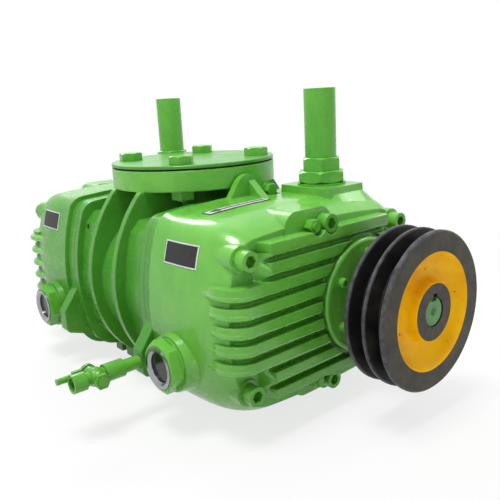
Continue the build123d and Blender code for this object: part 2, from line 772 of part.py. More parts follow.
# ---- shafts, rotors, keys, nuts ----------------------------------------------
rotor_half = casing_half - rotor_end_gap
shaft_out = pulley_face - 0.8
with BuildPart() as drive_shaft:
    with BuildSketch(Plane.XZ.offset(-bearing_start)):
        with Locations(drive_axis):
            Circle(rotor_shaft_radius)
    extrude(amount=2 * bearing_start)
    with BuildSketch(Plane.XZ.offset(-bearing_end)):
        with Locations(drive_axis):
            Circle(journal_radius)
    extrude(amount=bearing_end + cap_face + 8)
    with BuildSketch(Plane.XZ.offset(-gear_end - nut_thickness - 2)):
        with Locations(drive_axis):
            Circle(seat_radius)
    extrude(amount=gear_end + nut_thickness + 2 + shaft_out)
    chamfer(drive_shaft.edges().filter_by(GeomType.CIRCLE).group_by(Axis.Y)[0], 1)
    with Locations(Plane.XZ.offset(shaft_out)):
        with Locations(drive_axis):
            CounterSinkHole(2.2, 4.2, depth=12, counter_sink_angle=60)
    # keyways
    with BuildSketch(Plane.XY.offset(axis_height + seat_radius - key_height / 2)):
        with Locations((shaft_x, gear_start + gear_face / 2)):
            Rectangle(key_width, gear_face)
        with Locations((shaft_x, -pulley_face + pulley_width / 2)):
            Rectangle(key_width, pulley_width)
    extrude(amount=key_height, mode=Mode.SUBTRACT)
save(drive_shaft, "drive_shaft")

with BuildPart() as driven_shaft:
    with BuildSketch(Plane.XZ.offset(-bearing_start)):
        with Locations(driven_axis):
            Circle(rotor_shaft_radius)
    extrude(amount=2 * bearing_start)
    with BuildSketch(Plane.XZ.offset(-bearing_end)):
        with Locations(driven_axis):
            Circle(journal_radius)
    extrude(amount=2 * bearing_end)
    with BuildSketch(Plane.XZ.offset(-gear_end - nut_thickness - 2)):
        with Locations(driven_axis):
            Circle(seat_radius)
    extrude(amount=gear_end + 2 * nut_thickness + 6 + bearing_end)
    with BuildSketch(Plane.XY.offset(axis_height + seat_radius - key_height / 2)):
        with Locations((-shaft_x, gear_start + gear_face / 2)):
            Rectangle(key_width, gear_face)
    extrude(amount=key_height, mode=Mode.SUBTRACT)
save(driven_shaft, "driven_shaft")

lobes = rotor_points(pitch_radius, rotor_gap, 14)
for name, place, turn in (("drive_rotor", drive_axis, 0), ("driven_rotor", driven_axis, 90)):
    with BuildPart() as rotor:
        with BuildSketch(shaft_plane(place, rotor_half, turn)):
            with BuildLine():
                Spline(*lobes, periodic=True)
            make_face()
            Circle(rotor_shaft_radius + fit_gap, mode=Mode.SUBTRACT)
        extrude(amount=2 * rotor_half)
    save(rotor, name)

for name, place, turn in (
    ("drive_timing_gear", drive_axis, 0),
    ("driven_timing_gear", driven_axis, 180 / teeth),
):
    with BuildPart() as gear:
        with BuildSketch(shaft_plane(place, gear_end, turn)):
            with BuildLine():
                Polyline(*gear_points(teeth, module, gear_backlash), close=True)
            make_face()
        extrude(amount=gear_face)
        with BuildSketch(Plane.XZ.offset(-gear_start)):
            with Locations(place):
                Circle(21)
        extrude(amount=gear_start - bearing_end - 0.5)
        with BuildSketch(Plane.XZ.offset(-gear_end)):
            with Locations(place):
                Circle(seat_radius + fit_gap)
        extrude(amount=gear_face + 20, mode=Mode.SUBTRACT)
        with BuildSketch(Plane.XZ.offset(-gear_end)):
            with Locations((place[0], axis_height + seat_radius)):
                Rectangle(key_width + 0.1, key_height + 0.4)
        extrude(amount=gear_face + 20, mode=Mode.SUBTRACT)
    save(gear, name)

for name, place, middle, length in (
    ("drive_gear_key", drive_axis, gear_start + gear_face / 2, gear_face),
    ("driven_gear_key", driven_axis, gear_start + gear_face / 2, gear_face),
    ("pulley_key", drive_axis, -pulley_face + pulley_width / 2 + 1.5, pulley_width - 3),
):
    with BuildPart() as key:
        with BuildSketch(Plane.XY.offset(axis_height + seat_radius - key_height / 2)):
            with Locations((place[0], middle)):
                Rectangle(key_width, length)
        extrude(amount=key_height)
    save(key, name)

for name, place in (("drive_gear_nut", drive_axis), ("driven_gear_nut", driven_axis)):
    with BuildPart() as nut:
        with BuildSketch(Plane.XZ.offset(-gear_end - nut_thickness)):
            with Locations(place):
                RegularPolygon(20, 6, major_radius=False)
                Circle(seat_radius + fit_gap, mode=Mode.SUBTRACT)
        extrude(amount=nut_thickness)
    save(nut, name)

with BuildPart() as drive_locknut:
    add(ring(bearing_end, nut_thickness, 22, journal_radius + fit_gap, [drive_axis]))
save(drive_locknut, "drive_locknut")

with BuildPart() as driven_locknut:
    add(ring(bearing_end, nut_thickness, 22, seat_radius + fit_gap, [driven_axis]))
save(driven_locknut, "driven_locknut")

# splash discs pick the oil up at both ends of the driven shaft
with BuildPart() as driven_oil_slinger:
    with BuildSketch(Plane.XZ.offset(bearing_end + nut_thickness)):
        with Locations(driven_axis):
            Circle(slinger_radius)
            Circle(seat_radius + fit_gap, mode=Mode.SUBTRACT)
            with PolarLocations(slinger_radius, 6):
                RectangleRounded(10, 8, 2, mode=Mode.SUBTRACT)
    extrude(amount=3)
save(driven_oil_slinger, "driven_oil_slinger")

# ---- drive seal and bearing cover --------------------------------------------
with BuildPart() as drive_shaft_seal:
    add(ring(drive_boss_face - 11, 10, seal_radius - fit_gap, journal_radius + 0.1, [drive_axis]))
save(drive_shaft_seal, "drive_shaft_seal")

with BuildPart() as seal_cap:
    add(ring(drive_boss_face, seal_cap_thickness, seal_cap_radius, journal_radius + shaft_clearance, [drive_axis]))
    fillet(seal_cap.edges().filter_by(GeomType.CIRCLE).group_by(Axis.Y)[0].sort_by(SortBy.RADIUS)[-1], 4)
    with Locations(Plane.XZ.offset(cap_face)):
        with Locations(drive_axis):
            with PolarLocations(cap_screw_circle, 6, start_angle=30):
                Hole(cap_screw_radius + 0.3, depth=seal_cap_thickness)
save(seal_cap, "seal_cap")

with BuildPart() as seal_cap_screws:
    with BuildSketch(Plane.XZ.offset(cap_face)) as heads:
        with Locations(drive_axis):
            with PolarLocations(cap_screw_circle, 6, start_angle=30):
                Circle(cap_screw_head)
    extrude(amount=cap_screw_rise)
    with BuildSketch(Plane.XZ.offset(cap_face)):
        with Locations(drive_axis):
            with PolarLocations(cap_screw_circle, 6, start_angle=30):
                Circle(cap_screw_radius)
    extrude(amount=-20)
    with BuildSketch(Plane.XZ.offset(cap_face + cap_screw_rise)):
        with Locations(drive_axis):
            with PolarLocations(cap_screw_circle, 6, start_angle=30):
                RegularPolygon(2.5, 6, major_radius=False)
    extrude(amount=-3.5, mode=Mode.SUBTRACT)
save(seal_cap_screws, "seal_cap_screws")

# ---- belt pulley -------------------------------------------------------------
pulley_back = pulley_face - pulley_width
land = (pulley_width - groove_pitch - groove_top) / 2
with BuildPart() as pulley:
    with BuildSketch(Plane.XY.offset(axis_height)):
        with BuildLine():
            bore = shaft_x + seat_radius + fit_gap
            hub = shaft_x + hub_radius
            dish = shaft_x + dish_radius
            rim = shaft_x + pulley_radius
            floor = -pulley_face + dish_depth
            boss = Polyline((bore, -pulley_face), (hub, -pulley_face), (hub + 1.5, floor - 5))
            root = ThreePointArc(boss @ 1, (hub + 3.4, floor - 1.5), (hub + 7.5, floor))
            web = Line(root @ 1, (dish - 17, floor))
            wall = ThreePointArc(web @ 1, (dish - 6.5, floor - 4.2), (dish, -pulley_face))
            points = [wall @ 1, (rim - 1.5, -pulley_face), (rim, -pulley_face + 1.5)]
            for groove in range(2):
                start = -pulley_face + land + groove * groove_pitch
                slope = (groove_top - groove_bottom) / 2
                points += [(rim, start), (rim - groove_depth, start + slope),
                           (rim - groove_depth, start + groove_top - slope), (rim, start + groove_top)]
            points += [(rim, -pulley_back - 1.5), (rim - 1.5, -pulley_back), (dish, -pulley_back),
                       (dish - 3, -pulley_back - dish_depth), (hub + 3, -pulley_back - dish_depth),
                       (hub, -pulley_back), (bore, -pulley_back), (bore, -pulley_face)]
            Polyline(*points)
        make_face()
    revolve(axis=Axis((shaft_x, 0, axis_height), (0, 1, 0)))
    with BuildSketch(Plane.XZ.offset(pulley_back)):
        with Locations((shaft_x, axis_height + seat_radius)):
            Rectangle(key_width + 0.1, key_height + 0.4)
    extrude(amount=pulley_width, mode=Mode.SUBTRACT)
save(pulley, "pulley")

# ---- breathers ---------------------------------------------------------------
bush_base = pad_top + washer_thickness
nipple_base = bush_base + bush_height
bush_head = hexagon(bush_af, bush_height, both=True)
nipple_head = hexagon(nipple_af, nipple_height)
for end, label in ((-1, "drive"), (1, "gear")):
    spot = (breather_x, end * breather_y)
    with BuildPart() as breather_washer:
        with BuildSketch(Plane.XY.offset(pad_top)):
            with Locations(spot):
                Circle(washer_radius)
                Circle(17.5, mode=Mode.SUBTRACT)
        extrude(amount=washer_thickness)
    save(breather_washer, f"{label}_breather_washer")
    with BuildPart() as breather_bush:
        with Locations(Plane.XY.offset(bush_base)):
            with Locations(spot):
                add(bush_head, rotation=(0, 0, breather_turn))
        with BuildSketch(Plane.XY.offset(bush_base - washer_thickness - 14)):
            with Locations(spot):
                Circle(17)
        extrude(amount=washer_thickness + 14)
        with BuildSketch(Plane.XY.offset(bush_base - washer_thickness - 14)):
            with Locations(spot):
                Circle(pipe_radius - pipe_wall - 2)
        extrude(amount=60, mode=Mode.SUBTRACT)
    save(breather_bush, f"{label}_breather_bush")
    with BuildPart() as breather_nipple:
        with Locations(Plane.XY.offset(nipple_base)):
            with Locations(spot):
                add(nipple_head, rotation=(0, 0, breather_turn + 3))
        with BuildSketch(Plane.XY.offset(nipple_base)):
            with Locations(spot):
                Circle(pipe_radius - pipe_wall - 2)
        extrude(amount=nipple_height, mode=Mode.SUBTRACT)
    save(breather_nipple, f"{label}_breather_nipple")
    with BuildPart() as breather_pipe:
        with BuildSketch(Plane.XY.offset(nipple_base + nipple_height)):
            with Locations(spot):
                Circle(pipe_radius)
                Circle(pipe_radius - pipe_wall, mode=Mode.SUBTRACT)
        extrude(amount=pipe_top - nipple_base - nipple_height)
    save(breather_pipe, f"{label}_breather_pipe")

# ---- oil sight glasses -------------------------------------------------------
hex_start = sight_boss_face + washer_thickness
hex_face = hex_start + sight_body
sight_head = hexagon(sight_af, sight_body)
for end, label in ((-1, "drive"), (1, "gear")):
    spot = (end * sight_y, sight_z)
    with BuildPart() as sight_washer:
        with BuildSketch(Plane.YZ.offset(-sight_boss_face)):
            with Locations(spot):
                Circle(sight_boss_radius - 3)
                Circle(17, mode=Mode.SUBTRACT)
        extrude(amount=-washer_thickness)
    save(sight_washer, f"{label}_sight_washer")
    with BuildPart() as sight_body_part:
        with Locations(Plane(origin=(-hex_start, *spot), x_dir=(0, 1, 0), z_dir=(-1, 0, 0))):
            add(sight_head, rotation=(0, 0, -sight_turn))
        with BuildSketch(Plane.YZ.offset(-hex_start)):
            with Locations(spot):
                Circle(16.9)
        extrude(amount=washer_thickness + 16)
        with BuildSketch(Plane.YZ.offset(-hex_face)):
            with Locations(spot):
                Circle(sight_ring_radius)
        extrude(amount=8, mode=Mode.SUBTRACT)
        with BuildSketch(Plane.YZ.offset(-hex_face)):
            with Locations(spot):
                Circle(12)
        extrude(amount=60, mode=Mode.SUBTRACT)
    save(sight_body_part, f"{label}_sight_body")
    with BuildPart() as sight_ring:
        with BuildSketch(Plane.YZ.offset(-hex_face + 3)):
            with Locations(spot):
                Circle(sight_ring_radius - fit_gap)
                Circle(sight_glass_radius, mode=Mode.SUBTRACT)
        extrude(amount=-4)
        chamfer(sight_ring.edges().group_by(Axis.X)[0].sort_by(SortBy.RADIUS)[0], 2.4)
    save(sight_ring, f"{label}_sight_ring")
    with BuildPart() as sight_glass:
        with BuildSketch(Plane.YZ.offset(-hex_face + 8)):
            with Locations(spot):
                Circle(sight_ring_radius - 0.1)
        extrude(amount=-5)
    save(sight_glass, f"{label}_sight_glass")

# ---- drain line and plug cock ------------------------------------------------
drain_y = -casing_half - plate_thickness / 2
pipe_start = drain_boss_face - 10
pipe_end = pipe_start + drain_pipe_length
coupling_end = pipe_end + coupling_length - 8
cock_x = coupling_end + 9
socket_start = cock_x + 11
spot = (drain_y, drain_z)
with BuildPart() as drain_pipe:
    with BuildSketch(Plane.YZ.offset(-pipe_start)):
        with Locations(spot):
            Circle(drain_pipe_radius)
            Circle(drain_pipe_radius - 2.2, mode=Mode.SUBTRACT)
    extrude(amount=-drain_pipe_length)
save(drain_pipe, "drain_pipe")

with BuildPart() as drain_coupling:
    with BuildSketch(Plane.YZ.offset(-coupling_end)):
        with Locations(spot):
            Circle(coupling_radius)
    extrude(amount=coupling_length)
    with BuildSketch(Plane.YZ.offset(-pipe_end)):
        with Locations(spot):
            Circle(drain_pipe_radius + fit_gap)
    extrude(amount=coupling_length, mode=Mode.SUBTRACT)
    with BuildSketch(Plane.YZ.offset(-coupling_end)):
        with Locations(spot):
            Circle(drain_pipe_radius - 2.2)
    extrude(amount=coupling_length, mode=Mode.SUBTRACT)
save(drain_coupling, "drain_coupling")

with BuildPart() as cock_body:
    with BuildSketch(Plane.XY.offset(drain_z)):
        with BuildLine():
            neck = drain_pipe_radius
            reach = (cock_radius**2 - neck**2) ** 0.5
            shell = Polyline((-coupling_end, drain_y), (-coupling_end, drain_y + neck),
                             (-cock_x + reach, drain_y + neck))
            ball = ThreePointArc(shell @ 1, (-cock_x, drain_y + cock_radius), (-cock_x - reach, drain_y + neck))
            Polyline(ball @ 1, (-socket_start, drain_y + neck), (-socket_start, drain_y), shell @ 0)
        make_face()
    revolve(axis=Axis((0, drain_y, drain_z), (1, 0, 0)))
    with BuildSketch(Plane.XZ.offset(-drain_y - cock_radius - 2)):
        with Locations((-cock_x, drain_z)):
            Circle(cock_plug_radius + 2.5)
    extrude(amount=2 * cock_radius + 4)
    with BuildSketch(Plane.XZ.offset(-drain_y - 40)):
        with Locations((-cock_x, drain_z)):
            Circle(cock_plug_radius + 0.05)
    extrude(amount=80, mode=Mode.SUBTRACT)
    with BuildSketch(Plane.YZ.offset(-cock_x + 60)):
        with Locations(spot):
            Circle(3)
    extrude(amount=-120, mode=Mode.SUBTRACT)
save(cock_body, "cock_body")

with BuildPart() as cock_socket:
    with BuildSketch(Plane.YZ.offset(-socket_start)):
        with Locations(spot):
            Circle(9.2)
    extrude(amount=-13)
    with BuildSketch(Plane.YZ.offset(-socket_start - 13)):
        with Locations(spot):
            Circle(6.6)
    extrude(amount=10, mode=Mode.SUBTRACT)
    with BuildSketch(Plane.YZ.offset(-socket_start - 13)):
        with Locations(spot):
            Circle(3)
    extrude(amount=20, mode=Mode.SUBTRACT)
save(cock_socket, "cock_socket")

plug_near = drain_y - cock_radius - 2
plug_far = drain_y + cock_radius + 2
with BuildPart() as cock_plug:
    with BuildSketch(Plane.XZ.offset(-plug_far - 7)):
        with Locations((-cock_x, drain_z)):
            Circle(cock_plug_radius)
    extrude(amount=plug_far + 7 - plug_near + 6)
    with BuildSketch(Plane.YZ.offset(-cock_x + 20)):
        with Locations(spot):
            Circle(3)
    extrude(amount=-40, mode=Mode.SUBTRACT)
save(cock_plug, "cock_plug")

with BuildPart() as cock_nut:
    with BuildSketch(Plane.XZ.offset(-plug_near + 0.4)):
        with Locations((-cock_x, drain_z)):
            RegularPolygon(7, 6, major_radius=False)
            Circle(cock_plug_radius + fit_gap, mode=Mode.SUBTRACT)
    extrude(amount=4.5)
save(cock_nut, "cock_nut")

with BuildPart() as cock_lever:
    with BuildSketch(Plane.XZ.offset(-plug_far - 6)):
        with Locations((-cock_x, drain_z)):
            Circle(8)
        with Locations((-cock_x - 8, drain_z)):
            Rectangle(16, 10)
        with Locations((-cock_x, drain_z)):
            Circle(cock_plug_radius + fit_gap, mode=Mode.SUBTRACT)
    extrude(amount=4)
    with BuildSketch(Plane.YZ.offset(-cock_x - 14)):
        with Locations((plug_far + 4, drain_z)):
            Circle(3.2)
    extrude(amount=-(lever_length - 14))
save(cock_lever, "cock_lever")
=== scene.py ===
"""Looks of the twin-lobe roots vacuum pump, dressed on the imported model.

Everything is in metres, in the frame of the CAD: +Z up, shafts along Y, pulley toward -Y.
"""

from math import cos, pi, sin

import bpy
from mathutils import Matrix, Vector
from mathutils.bvhtree import BVHTree


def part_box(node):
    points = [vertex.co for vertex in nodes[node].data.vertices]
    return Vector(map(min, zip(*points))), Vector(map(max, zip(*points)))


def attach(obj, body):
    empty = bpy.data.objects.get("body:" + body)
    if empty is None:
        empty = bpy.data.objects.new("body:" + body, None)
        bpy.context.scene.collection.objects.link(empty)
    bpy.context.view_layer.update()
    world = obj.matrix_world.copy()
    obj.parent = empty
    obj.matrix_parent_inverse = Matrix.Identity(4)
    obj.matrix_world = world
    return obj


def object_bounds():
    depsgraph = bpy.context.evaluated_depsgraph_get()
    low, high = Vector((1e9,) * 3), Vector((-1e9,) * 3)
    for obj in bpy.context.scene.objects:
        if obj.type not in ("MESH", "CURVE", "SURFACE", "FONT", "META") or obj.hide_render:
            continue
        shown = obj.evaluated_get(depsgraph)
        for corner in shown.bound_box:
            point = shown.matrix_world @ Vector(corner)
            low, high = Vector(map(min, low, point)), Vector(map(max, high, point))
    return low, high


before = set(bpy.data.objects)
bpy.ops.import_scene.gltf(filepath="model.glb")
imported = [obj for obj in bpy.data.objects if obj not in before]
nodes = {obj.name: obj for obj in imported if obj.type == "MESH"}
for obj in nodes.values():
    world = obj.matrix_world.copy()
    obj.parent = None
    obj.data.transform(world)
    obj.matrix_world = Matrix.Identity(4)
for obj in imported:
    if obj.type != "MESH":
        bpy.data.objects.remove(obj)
cad_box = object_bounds()


# ---- shader building ---------------------------------------------------------
class Shader:
    """A node material with one Principled surface and short calls for what feeds it."""

    def __init__(self, name):
        self.material = bpy.data.materials.new(name)
        self.material.use_nodes = True
        self.tree = self.material.node_tree
        self.surface = self.tree.nodes["Principled BSDF"]
        self.place = self.add("ShaderNodeTexCoord").outputs["Object"]

    def add(self, kind, **settings):
        """A new node with the given settings."""
        node = self.tree.nodes.new(kind)
        for key, value in settings.items():
            setattr(node, key, value)
        return node

    def feed(self, socket, value):
        """Links an output to a socket, or sets the socket to a plain value."""
        if isinstance(value, bpy.types.NodeSocket):
            self.tree.links.new(value, socket)
        else:
            socket.default_value = value

    def set(self, **values):
        """Sets or links the surface's sockets; an underscore stands for a space."""
        for key, value in values.items():
            self.feed(self.surface.inputs[key.replace("_", " ")], value)

    def coordinates(self):
        """The shaded point's X, Y and Z."""
        node = self.add("ShaderNodeSeparateXYZ")
        self.feed(node.inputs[0], self.place)
        return node.outputs

    def noise(self, scale, detail=3.0, rough=0.55, stretch=None, warp=0.0):
        """A noise pattern fixed to the piece; stretch scales it along each axis."""
        place = self.place
        if stretch:
            mapping = self.add("ShaderNodeMapping")
            self.feed(mapping.inputs["Vector"], place)
            mapping.inputs["Scale"].default_value = stretch
            place = mapping.outputs["Vector"]
        node = self.add("ShaderNodeTexNoise")
        self.feed(node.inputs["Vector"], place)
        node.inputs["Scale"].default_value = scale
        node.inputs["Detail"].default_value = detail
        node.inputs["Roughness"].default_value = rough
        node.inputs["Distortion"].default_value = warp
        return node.outputs["Fac"]

    def math(self, operation, first, second=0.0):
        node = self.add("ShaderNodeMath", operation=operation)
        self.feed(node.inputs[0], first)
        self.feed(node.inputs[1], second)
        return node.outputs[0]

    def band(self, value, low, high, start=0.0, end=1.0):
        """Maps value from low..high to start..end, smoothly and clamped."""
        node = self.add("ShaderNodeMapRange", interpolation_type="SMOOTHSTEP")
        self.feed(node.inputs["Value"], value)
        node.inputs["From Min"].default_value = low
        node.inputs["From Max"].default_value = high
        node.inputs["To Min"].default_value = start
        node.inputs["To Max"].default_value = end
        return node.outputs["Result"]

    def mix(self, amount, first, second):
        """The first colour at amount 0, the second at 1."""
        node = self.add("ShaderNodeMix", data_type="RGBA")
        self.feed(node.inputs[0], amount)
        self.feed(node.inputs[6], first)
        self.feed(node.inputs[7], second)
        return node.outputs[2]

    def crevice(self, reach):
        """1 in tight corners, 0 in the open."""
        node = self.add("ShaderNodeAmbientOcclusion", samples=6)
        node.inputs["Distance"].default_value = reach
        return self.math("SUBTRACT", 1.0, node.outputs["AO"])

    def edges(self, radius):
        """Soft-edged normal, and a mask that is 1 on the edges it softens."""
        bevel = self.add("ShaderNodeBevel", samples=6)
        bevel.inputs["Radius"].default_value = radius
        plain = self.add("ShaderNodeNewGeometry").outputs["Normal"]
        dot = self.add("ShaderNodeVectorMath", operation="DOT_PRODUCT")
        self.feed(dot.inputs[0], bevel.outputs["Normal"])
        self.feed(dot.inputs[1], plain)
        mask = self.band(dot.outputs["Value"], 0.99, 0.80)
        return bevel.outputs["Normal"], mask

    def bump(self, height, depth, normal=None):
        """A normal with relief of the given depth, laid over another normal if there is one."""
        node = self.add("ShaderNodeBump")
        node.inputs["Distance"].default_value = depth
        node.inputs["Strength"].default_value = 1.0
        self.feed(node.inputs["Height"], height)
        if normal is not None:
            self.feed(node.inputs["Normal"], normal)
        return node.outputs["Normal"]

    def radius_about(self, x, z):
        """Distance of the shaded point from a line along Y through x, z, and its own Y."""
        point = self.coordinates()
        across = self.math("SUBTRACT", point["X"], x)
        up = self.math("SUBTRACT", point["Z"], z)
        square = self.math("ADD", self.math("MULTIPLY", across, across),
                           self.math("MULTIPLY", up, up))
        return self.math("SQRT", square), point["Y"]


def srgb(red, green, blue):
    """A colour written as 0-255 screen values, made linear."""
    def linear(value):
        value /= 255.0
        return value / 12.92 if value <= 0.04045 else ((value + 0.055) / 1.055) ** 2.4
    return (linear(red), linear(green), linear(blue), 1.0)


# ---- materials ---------------------------------------------------------------
green = srgb(96, 178, 58)
green_light = srgb(118, 194, 76)
green_deep = srgb(62, 150, 40)
green_corner_shade = srgb(58, 112, 24)
green_low_painted_shade = srgb(72, 138, 34)
green_painted_shade = srgb(44, 124, 28)
bare_iron = srgb(92, 90, 82)
metal_corner_shade = srgb(24, 23, 22)

flange_and_packing = 0.024   # from the blank plate down to the underside of the inlet flange
flange_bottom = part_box("inlet_blank_plate")[0].z - flange_and_packing
corner_shade_reach = 0.014         # how far from a tight corner the painted shade shows
low_shade_start, low_shade_end = 0.14, 0.03    # heights between which painted shade darkens the paint toward the bottom
coarse_grain = 0.0001        # a deeper grain than this gets the coarser pattern
painted_shade_blend = 0.004          # height over which the painted shade fades in


def paint(name, grain, edge, gloss=0.3, shift=0.0, painted_shade=0.0, painted_shade_top=1.0, corner_shade=0.5,
          coat=0.15):
    """Green enamel brushed over iron: uneven tone, painted corner shade, a few edge chips.

    grain is the depth of the relief, edge the radius of the softened edges and gloss the
    roughness. shift makes the patches of tone smaller. Below the height painted_shade_top a
    share painted_shade of a deeper green is mixed in as painted shade. corner_shade is the
    share of painted shade in the corners.
    """
    shader = Shader(name)
    height = shader.coordinates()["Z"]
    tone = shader.noise(7.0 + shift, 4.0, 0.6, warp=0.6)
    colour = shader.mix(shader.band(tone, 0.38, 0.66), green, green_light)
    streak = shader.noise(16.0, 3.0, 0.6, stretch=(1.0, 1.0, 0.22))
    colour = shader.mix(shader.band(streak, 0.56, 0.78, 0.0, 0.55), colour, green_deep)
    # painted shade: a deeper green below a given height, for parts that lie in shade
    painted_shade_amount = shader.band(height, painted_shade_top, painted_shade_top - painted_shade_blend, 0.0, painted_shade)
    colour = shader.mix(painted_shade_amount, colour, green_painted_shade)
    # painted shade: the paint darkens in tight corners, where shade falls
    corner = shader.crevice(corner_shade_reach)
    colour = shader.mix(shader.band(corner, 0.25, 0.85, 0.0, corner_shade), colour, green_corner_shade)
    normal, on_edge = shader.edges(edge)
    chip = shader.band(shader.noise(210.0, 5.0, 0.7), 0.66, 0.70)
    worn = shader.math("MULTIPLY", on_edge, chip)
    colour = shader.mix(shader.math("MULTIPLY", worn, 0.55), colour, bare_iron)
    # painted shade: the paint grows darker toward the bottom, where less light reaches
    painted_low_shade = shader.band(height, low_shade_start, low_shade_end, 0.0, 0.6)
    colour = shader.mix(painted_low_shade, colour, green_low_painted_shade)
    rough = shader.band(shader.noise(60.0, 4.0), 0.3, 0.7, gloss - 0.07, gloss + 0.12)
    relief = shader.noise(240.0 if grain > coarse_grain else 420.0, 5.0, 0.6)
    normal = shader.bump(relief, grain, normal)
    normal = shader.bump(shader.noise(34.0, 2.0), grain * 3.0, normal)
    shader.set(Base_Color=colour, Roughness=rough, Normal=normal)
    shader.set(Specular_IOR_Level=0.3, Coat_Weight=coat, Coat_Roughness=0.1)
    return shader.material


def metal(name, base, rough):
    """Turned or plated metal, with faint tool marks, staining and painted shade in corners."""
    mark_depth = 0.00002
    edge_radius = 0.0004
    metal_shade_reach = 0.006
    shader = Shader(name)
    stain = shader.noise(45.0, 5.0, 0.65)
    darker = tuple(value * 0.55 for value in base[:3]) + (1.0,)
    colour = shader.mix(shader.band(stain, 0.45, 0.8), base, darker)
    # painted shade: the metal darkens toward black in tight corners
    metal_shaded_corners = shader.band(shader.crevice(metal_shade_reach), 0.3, 0.9, 0.0, 0.7)
    colour = shader.mix(metal_shaded_corners, colour, metal_corner_shade)
    normal, _ = shader.edges(edge_radius)
    marks = shader.noise(700.0, 3.0, stretch=(1.0, 0.15, 1.0))
    shader.set(Base_Color=colour, Metallic=1.0)
    shader.set(Roughness=shader.band(stain, 0.3, 0.8, rough - 0.06, rough + 0.15))
    shader.set(Normal=shader.bump(marks, mark_depth, normal))
    return shader.material


def rubber(name, base):
    """Black sheet packing with a little chalky wear."""
    shader = Shader(name)
    chalk = shader.band(shader.noise(120.0, 4.0), 0.5, 0.8)
    colour = shader.mix(chalk, base, srgb(52, 50, 48))
    shader.set(Base_Color=colour, Roughness=0.75)
    shader.set(Normal=shader.bump(shader.noise(900.0), 0.00004))
    return shader.material


def sight_lens(name):
    """Thick oil-level glass with dark oil behind it."""
    shader = Shader(name)
    haze = shader.band(shader.noise(70.0, 4.0), 0.45, 0.8)
    colour = shader.mix(haze, srgb(14, 13, 12), srgb(34, 33, 28))
    shader.set(Base_Color=colour, Roughness=0.12, Specular_IOR_Level=0.4)
    return shader.material


def pulley_coat(name):
    """Black grooves, grey rubbed rims, a yellow dish and a bare hub face."""
    dish_radius = 0.0569
    hub_radius = 0.0272
    dish_depth = 0.0175
    rub_depth = 0.0022           # how far in from the rims the black is rubbed off
    edge_start = 0.060           # edges are rubbed only beyond this radius
    shader = Shader(name)
    low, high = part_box("pulley")
    centre = (low + high) / 2
    outside = (high.z - low.z) / 2
    radius, along = shader.radius_about(centre.x, centre.z)
    black = shader.mix(shader.band(shader.noise(30.0, 5.0), 0.45, 0.8),
                       srgb(22, 22, 23), srgb(48, 45, 40))
    rubbed = shader.mix(shader.band(shader.noise(90.0, 5.0, 0.7), 0.35, 0.7),
                        srgb(92, 92, 98), srgb(58, 54, 50))
    yellow = shader.mix(shader.band(shader.noise(22.0, 4.0), 0.35, 0.7),
                        srgb(252, 200, 6), srgb(238, 170, 8))
    rim = shader.band(radius, outside - rub_depth, outside - 0.0008)
    colour = shader.mix(rim, black, rubbed)
    front = shader.band(along, low.y + 0.0005, low.y + 0.0001)
    face = shader.mix(shader.band(shader.noise(55.0, 5.0, 0.7), 0.3, 0.75),
                      srgb(84, 80, 68), srgb(62, 59, 54))
    colour = shader.mix(shader.math("MULTIPLY", front, 0.9), colour, face)
    near_front = shader.band(along, low.y + dish_depth, low.y + dish_depth - 0.001)
    inside = shader.band(radius, dish_radius, dish_radius - 0.0005)
    beyond_hub = shader.band(radius, hub_radius, hub_radius + 0.0004)
    dish = shader.math("MULTIPLY", shader.math("MULTIPLY", inside, beyond_hub), near_front)
    speck = shader.band(shader.noise(260.0, 3.0, 0.6), 0.69, 0.72)
    yellow = shader.mix(speck, yellow, srgb(60, 46, 20))
    colour = shader.mix(dish, colour, yellow)
    normal, on_edge = shader.edges(0.0008)
    outer = shader.band(radius, edge_start, edge_start + 0.002, 0.0, 0.6)
    colour = shader.mix(shader.math("MULTIPLY", on_edge, outer), colour, srgb(120, 120, 126))
    rough = shader.band(shader.noise(80.0, 4.0), 0.3, 0.7, 0.34, 0.52)
    shader.set(Base_Color=colour, Roughness=rough, Specular_IOR_Level=0.14)
    shader.set(Normal=shader.bump(shader.noise(300.0, 5.0), 0.00006, normal))
    return shader.material


def shaft_coat(name):
    """Bright ground shaft whose outer end was caught by the green brush."""
    painted_length = 0.004
    shader = Shader(name)
    low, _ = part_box("drive_shaft")
    stain = shader.noise(60.0, 5.0, 0.65)
    ground = shader.mix(shader.band(stain, 0.4, 0.8), srgb(150, 150, 148), srgb(96, 94, 90))
    painted = shader.mix(shader.band(stain, 0.35, 0.7), srgb(88, 148, 76), srgb(70, 122, 62))
    along = shader.coordinates()["Y"]
    end = shader.band(along, low.y + painted_length, low.y + painted_length / 2)
    shader.set(Base_Color=shader.mix(end, ground, painted))
    shader.set(Metallic=shader.math("SUBTRACT", 1.0, end), Roughness=0.38)
    normal, _ = shader.edges(0.0006)
    shader.set(Normal=shader.bump(shader.noise(500.0, 4.0), 0.00004, normal))
    return shader.material


def plain_finish(name, base, rough, second):
    """A thin printed plate, faintly uneven between two tones."""
    shader = Shader(name)
    colour = shader.mix(shader.band(shader.noise(160.0, 5.0), 0.45, 0.8), base, second)
    shader.set(Base_Color=colour, Roughness=rough)
    shader.set(Normal=shader.bump(shader.noise(800.0), 0.00003))
    return shader.material


cast_grain = 0.00022
cast_edge = 0.0022
cast_green = paint("green_cast", cast_grain, cast_edge, coat=0.5)
# painted shade: below the inlet flange the middle casing is a deeper green, for the shade between
# the end covers
middle_green_painted_shade = paint("green_middle_painted_shade", cast_grain, cast_edge, shift=1.0, painted_shade=0.6,
                     painted_shade_top=flange_bottom)
